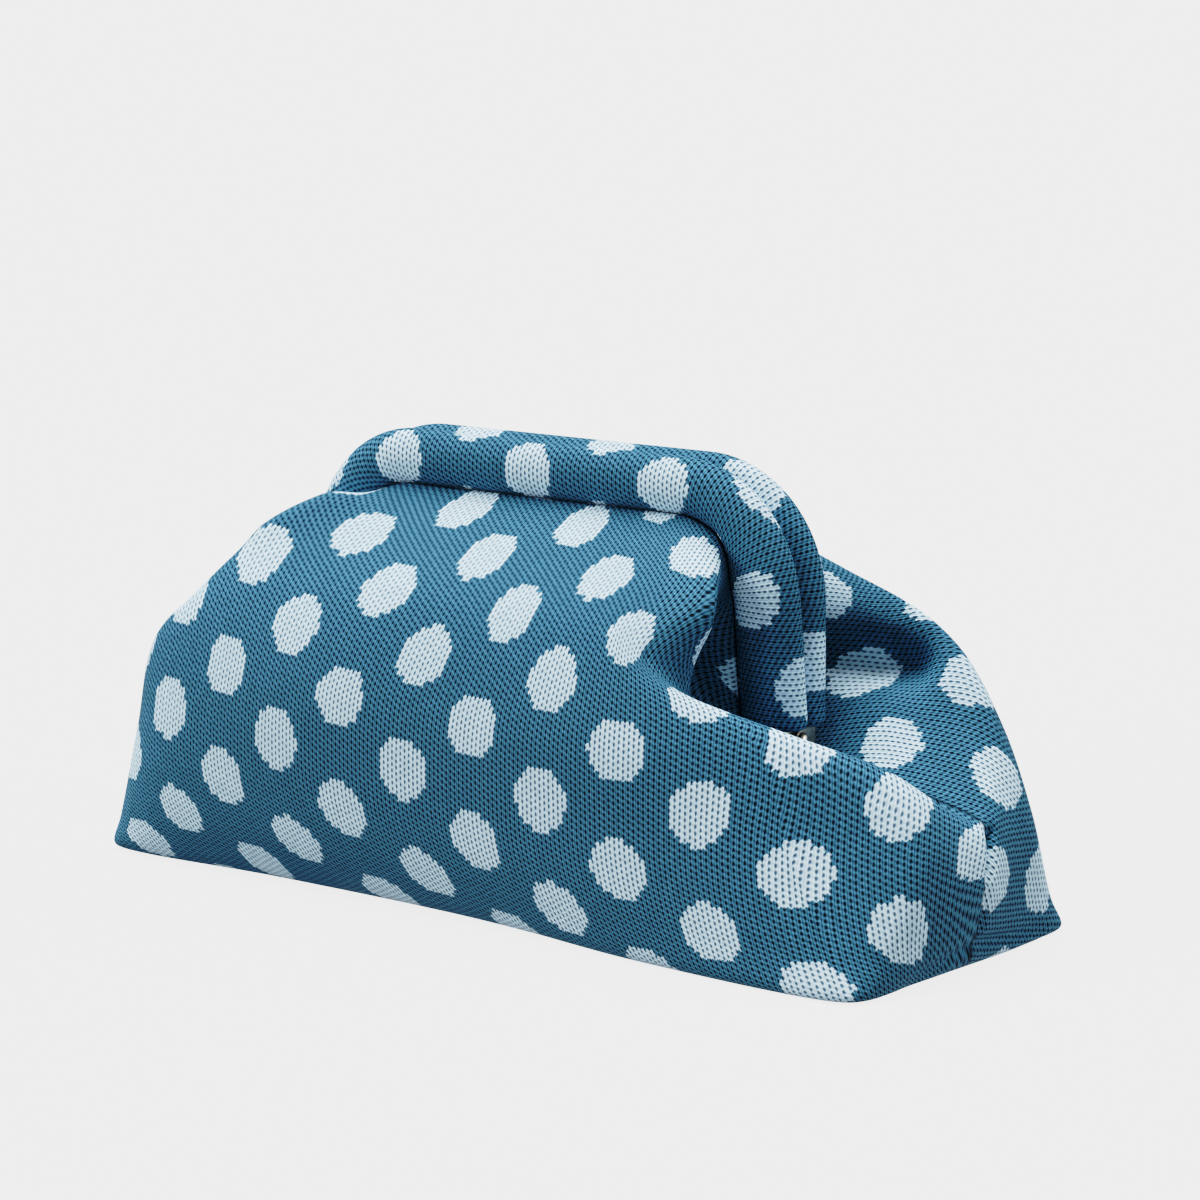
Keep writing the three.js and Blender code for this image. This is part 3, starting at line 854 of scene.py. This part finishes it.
def front_lay(flat):
    """Fabric coordinates of the front: the flat ones, less squares of the distance across and of the
    height, less a dome across the slope, and less the squares of how far a point is below the base line
    or past the end."""
    u, v = flat[..., 0], flat[..., 1]
    stretch = FRONT_STRETCH * (u - FRONT_STRETCH_FROM) ** 2
    slip = FRONT_SLIP * ((v - FRONT_SLIP_FROM) / FRONT_SLIP_OVER) ** 2
    dome = 1 - ((np.minimum(u, SLOPE_RIGHT) - SLOPE_MIDDLE) / SLOPE_REACH) ** 2
    gather = SLOPE_GATHER * np.interp(v, SLOPE_HEIGHTS, [0, 1]) * dome
    below = np.maximum((BASE_BELOW - v) / BASE_OVER, 0) ** 2 * np.interp(u, BASE_EASE, [1, BASE_EASED])
    past = np.maximum((u - END_FROM) / END_OVER, 0) ** 2 * np.interp(v, END_HEIGHTS, [0, 1])
    across = u - stretch - slip - gather - BASE_DRAW[0] * below
    return np.stack([across, v - BASE_DRAW[1] * below - END_DRAW * past], -1)


def back_lay(flat):
    """Fabric coordinates of the back: the flat ones shifted, and raised by a smooth step away from the
    right end."""
    share = np.clip((flat[..., :1] - BACK_RISE_FROM) / BACK_RISE_OVER, 0, 1)
    return flat + BACK_SHIFT + BACK_RISE * share**2 * (3 - 2 * share) * [0, 1]


def fabric_of(first_station, columns, heights, lay):
    """Fabric coordinates of the panel from one seam to the next, at its columns and heights:
    worked out on a coarse net, then smoothed along it."""
    half = COARSE_QUARTER[::-1] + COARSE_QUARTER
    net = np.append(stretches(half), len(half))
    whole = np.concatenate([net[:-1], net[:-1] + len(half)])
    panel = skin((first_station + whole) % STATIONS, COARSE_HEIGHTS)[:len(net)]
    flat = lay(unrolled(panel, COARSE_HEIGHTS))
    along = through(flat, np.interp(columns, net, np.arange(len(net))), False).transpose(1, 0, 2)
    at_heights = np.interp(heights, COARSE_HEIGHTS, np.arange(len(COARSE_HEIGHTS)))
    return through(along, at_heights, False)


sole_place = front_lay(np.zeros(2))
print("the middle of the front meets the sole at", np.round(sole_place / MM, 1).tolist(), "in the knit")

# %% [markdown]
# ## The pouch
#
# The pouch is one closed shell of cloth 2 mm thick: an outer skin, a turned edge at the mouth, an
# inner skin, and a double sole. A Solidify modifier could give the thickness, but an inner skin of
# its own needs fewer rows. All parts are rings of the same columns, so the shell closes without a
# gap. The columns stand closest where the cloth folds most.

# %% Lay the rings of the pouch
WALL = 2 * MM
# Columns between neighbouring stations from a panel's middle to its seam, and rows between the heights
QUARTER_COLUMNS = [24, 36, 16, 16, 20]
HEIGHT_ROWS = [6, 12, 24, 24, 24, 24, 28]
INNER_ROWS = [2, 3, 6, 6, 8, 12, 14]
SOLE_ROWS = 5


def pouch_rings(stations, heights, inner_heights):
    """Rings of the shell by columns: sole, outer skin, inner skin, inner floor. The inner skin lies one
    wall inside the outer one, and never below the floor."""
    outer = skin(stations, heights).transpose(1, 0, 2)
    coarse = skin(stations, inner_heights)
    inner = (coarse - WALL * normals(coarse)).transpose(1, 0, 2)
    inner[..., 2] = np.maximum(inner[..., 2], WALL)
    inner[0, :, 2] = WALL
    share = np.arange(1, SOLE_ROWS)[:, None, None] / SOLE_ROWS
    return share * outer[0], outer, inner[::-1], share[::-1] * inner[0] * [1, 1, 0] + [0, 0, WALL]


def build_pouch():
    """Points of the shell and their numbers, its rings, and the fabric coordinates of both panels. The
    columns start at the left seam and run once round, first along the front."""
    half = QUARTER_COLUMNS[::-1] + QUARTER_COLUMNS
    columns = np.append(stretches(half), len(half))
    heights = np.append(stretches(HEIGHT_ROWS), len(HEIGHT_ROWS))
    inner_heights = np.append(stretches(INNER_ROWS), len(INNER_ROWS))
    stations = np.concatenate([
        LEFT_SEAM + columns[:-1],
        LEFT_SEAM + len(half) + columns[:-1],
    ]) % STATIONS
    rings = pouch_rings(stations, heights, inner_heights)
    points = np.concatenate(rings)
    numbers = np.arange(points.shape[0] * points.shape[1]).reshape(points.shape[:2])
    numbers = np.concatenate([numbers, numbers[:, :1]], 1)
    points = np.concatenate([points, points[:, :1]], 1)
    front = fabric_of(LEFT_SEAM, columns, heights, front_lay)
    back = fabric_of(RIGHT_SEAM, columns, heights, back_lay)
    return points, numbers, rings, front, back


points, numbers, rings, front_fabric, back_fabric = build_pouch()
print("rows of sole, skin, inner skin and floor:", [len(part) for part in rings])

# %% [markdown]
# ## Joining the shell
#
# The rings now become faces. Fans close the middle of the sole and of the floor inside, and patches
# join the rows. One patch all round would be simpler, but on a sewn bag the dots stop at the seams.
# So the front and the back share the points of the end seams, and each has its own place in the
# knit.

# %% Join the pouch
sole_end = len(rings[0])
outer_end = sole_end + len(rings[1])
panel_columns = front_fabric.shape[1]
flat_place = points[..., :2]
outer_numbers = numbers[sole_end:outer_end]
middles = np.array([[0, 0, 0], [0, 0, WALL]])
sole_middle, floor_middle = numbers.max() + 1, numbers.max() + 2
patches = [
    fan(sole_middle, numbers[0, ::-1], middles[0, :2], flat_place[0, ::-1]),
    patch(numbers[:sole_end + 1], flat_place[:sole_end + 1]),
    patch(outer_numbers[:, :panel_columns], front_fabric),
    patch(outer_numbers[:, panel_columns - 1:], back_fabric),
    patch(numbers[outer_end - 1:], flat_place[outer_end - 1:]),
    fan(floor_middle, numbers[-1], middles[1, :2], flat_place[-1]),
]
shell = np.concatenate([points[:, :-1].reshape(-1, 3), middles])
seam_rings = np.zeros((len(points), points.shape[1] - 1))
seam_rings[sole_end:outer_end, [0, panel_columns - 1]] = 1
seam = np.append(seam_rings, [0, 0])
pouch = piece("knit_pouch", shell, patches, dotted_knit, seam)
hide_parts("pouch")

# %% [markdown]
# ## The padded casings
#
# Each bow lies in a padded sleeve of the same knit, oval in section, with its columns of stitches
# running round it. A sleeve is an oval carried along the bow's line. At each foot it turns in over
# a hem to a flat slot, where the bar comes out, and runs back inside as that slot, so the sleeve is
# one closed surface like a ring. Its own seam lies on the underside, where the mouth is sewn on and
# hides it.

# %% Carry an oval along the bow
SLOT = np.array([3.8, 12.8]) * MM
TOUCH = 0.2 * MM


def oval_section(angle, along):
    """The sleeve's ovals: front to back by the cosine, across the bow by the sine, and further across on
    the inner side."""
    inner = casing_inner(along)[:, None]
    across = np.sin(angle) * np.where(np.sin(angle) < 0, inner, CASING_HIGH / 2)
    return np.stack([CASING_THICK / 2 * np.cos(angle) * np.ones_like(across), across], -1)


def slot_section(angle):
    """The slot at the same angles: the oval's direction carried out to the sides of a rectangle."""
    direction = np.stack([np.cos(angle), np.sin(angle)], -1)
    return direction * (SLOT / 2 / np.maximum(np.abs(direction), TINY)).min(-1, keepdims=True)


def sleeve(facing, along, section):
    """Points of a section carried along the bow. The section's first axis points to the facing side and
    its second outward. Lengths run to the right as seen from the facing side."""
    centre, outward = bow_line(along)
    depth = facing * (BOW_DEPTH + section[..., 0])
    lift = section[..., 1]
    x = -facing * (centre[:, 0, None] + outward[:, 0, None] * lift)
    z = centre[:, 2, None] + outward[:, 2, None] * lift
    return np.stack([x, depth * np.ones_like(x), z], -1)


def pressed(points, facing, along):
    """Points moved by the lean of their leg, and then kept a little off the middle plane, so that both
    casings are flat where they meet."""
    outward, inward = lean(along)
    x = points[..., 0] + np.sign(points[..., 0]) * outward[:, None]
    y = facing * np.maximum(facing * points[..., 1] - inward[:, None], TOUCH)
    return np.stack([x, y, points[..., 2]], -1)


print("a casing is", round(CASING_THICK / MM, 1), "mm thick and", round(CASING_HIGH / MM, 1), "mm high")

# %% [markdown]
# ## The knit on the casings
#
# The strip for a casing was cut along the bow, so it is a little stretched over the bends and slips
# on the legs. It could be unrolled like a panel, but a sleeve is only a bent strip, so its length
# and its girth serve as fabric coordinates. A shift for each casing puts the dots where the
# photograph has them.

# %% Build the casings
AROUND = 64
ALONG_OUTSIDE = 360
ALONG_INSIDE = 60
HEM = 2.5 * MM
CASING_SEAM = math.radians(242)
CASING_DOT_HEIGHT = 170.5 * MM
CASING_STRETCH = 1.037
LEG_SLIP = 5 * MM
CASING_SHIFT = {"front_casing": -14.2 * MM, "back_casing": 30.7 * MM}


def build_casing(name, facing):
    """One sleeve. Its ends turn in over the hem by a quarter circle, and the slot leads back inside. In
    the knit it lies along by its length and around by its girth, counted from the facing side."""
    angle = CASING_SEAM - np.linspace(0, 2 * math.pi, AROUND + 1)
    outside = np.linspace(-HALF_LENGTH, HALF_LENGTH, ALONG_OUTSIDE)
    inside = np.linspace(HALF_LENGTH, -HALF_LENGTH, ALONG_INSIDE)
    to_hem = np.clip((HALF_LENGTH - np.abs(outside)) / HEM, 0, 1)
    rounding = np.sqrt(1 - (1 - to_hem) ** 2)[:, None, None]
    oval_points = oval_section(angle, outside)
    turned_in = oval_points - HEM * np.stack([np.cos(angle), np.sin(angle)], -1)
    outer = sleeve(facing, outside, turned_in + rounding * (oval_points - turned_in))
    outer = pressed(outer, facing, outside)
    inner = sleeve(facing, inside, slot_section(angle)[None])
    points = np.concatenate([outer, inner])[:, :-1]
    numbers = np.arange(points.shape[0] * points.shape[1]).reshape(points.shape[:2])
    numbers = np.pad(numbers, ((0, 1), (0, 1)), "wrap")
    step = np.linalg.norm(np.diff(oval_points, axis=1), axis=-1)
    girth = np.pad(np.cumsum(step, 1), ((0, 0), (1, 0)))
    # Weights of the columns that read the girth at the facing side, where the angle is 0
    at_facing_side = np.maximum(1 - np.abs(angle) / (angle[0] - angle[1]), 0)
    girth -= (girth * at_facing_side).sum(1, keepdims=True)
    around = np.concatenate([girth, girth[:ALONG_INSIDE], girth[:1]])
    along = CASING_STRETCH * np.concatenate([outside, inside, outside[:1]]) + CASING_SHIFT[name]
    slip = np.interp(np.abs(along[:, None]), [LEG_FROM, LEG_FULL], [0, LEG_SLIP])
    fabric = np.stack(np.broadcast_arrays(along[:, None], CASING_DOT_HEIGHT + slip - around), -1)
    no_seam = np.zeros(points.shape[:2])
    made = piece("knit_" + name, points, [patch(numbers, fabric)], dotted_knit, no_seam)
    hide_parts(name)


build_casing("front_casing", -1)
build_casing("back_casing", 1)

# %% [markdown]
# ## The steel
#
# The bows and the hinge pins are nickelled steel. Little of them shows: the eyes and the rivet
# heads below the hems. The metal is satin, with fine scratches along the bar and a faint warm tone.
# One plain grey would do from afar, but a little noise in tone and gloss keeps the rivet heads from
# looking like plastic.

# %% Finish the steel
NICKEL = linear(206, 200, 188)
NICKEL_WORN = linear(166, 158, 146)
CLOUDS_PER_METRE = 180.0
SCRATCHES_PER_METRE = (400.0, 400.0, 6000.0)
SCRATCH_DEPTH = 0.02 * MM
STEEL_ROUGHNESS = (0.22, 0.2)


def satin_nickel(name):
    """Nickel whose tone and gloss vary with a coarse noise, and fine scratches from a stretched one."""
    material, shader, start = new_finish(name)
    place = start.node("ShaderNodeTexCoord", output="Object")
    clouds = {"Vector": place, "Scale": CLOUDS_PER_METRE, "Detail": 3.0}
    cloud = start.node("ShaderNodeTexNoise", inputs=clouds)
    lines = start.node("ShaderNodeMapping", inputs={"Vector": place, "Scale": SCRATCHES_PER_METRE})
    scratch = start.node("ShaderNodeTexNoise", inputs={"Vector": lines, "Scale": 1.0, "Detail": 2.0})
    bump = start.node("ShaderNodeBump", inputs={"Height": scratch, "Distance": SCRATCH_DEPTH})
    roughness = STEEL_ROUGHNESS[0] + STEEL_ROUGHNESS[1] * cloud
    tree = material.node_tree
    tree.links.new(cloud.mix(NICKEL_WORN, NICKEL).socket, shader.inputs["Base Color"])
    tree.links.new(roughness.socket, shader.inputs["Roughness"])
    tree.links.new(bump.socket, shader.inputs["Normal"])
    shader.inputs["Metallic"].default_value = 1
    return material


nickel = satin_nickel("satin_nickel")
for name in ("front_bow", "back_bow", "hinge_pin_left", "hinge_pin_right"):
    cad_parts[name].data.materials[0] = nickel
print("satin_nickel has", len(nickel.node_tree.nodes), "nodes")
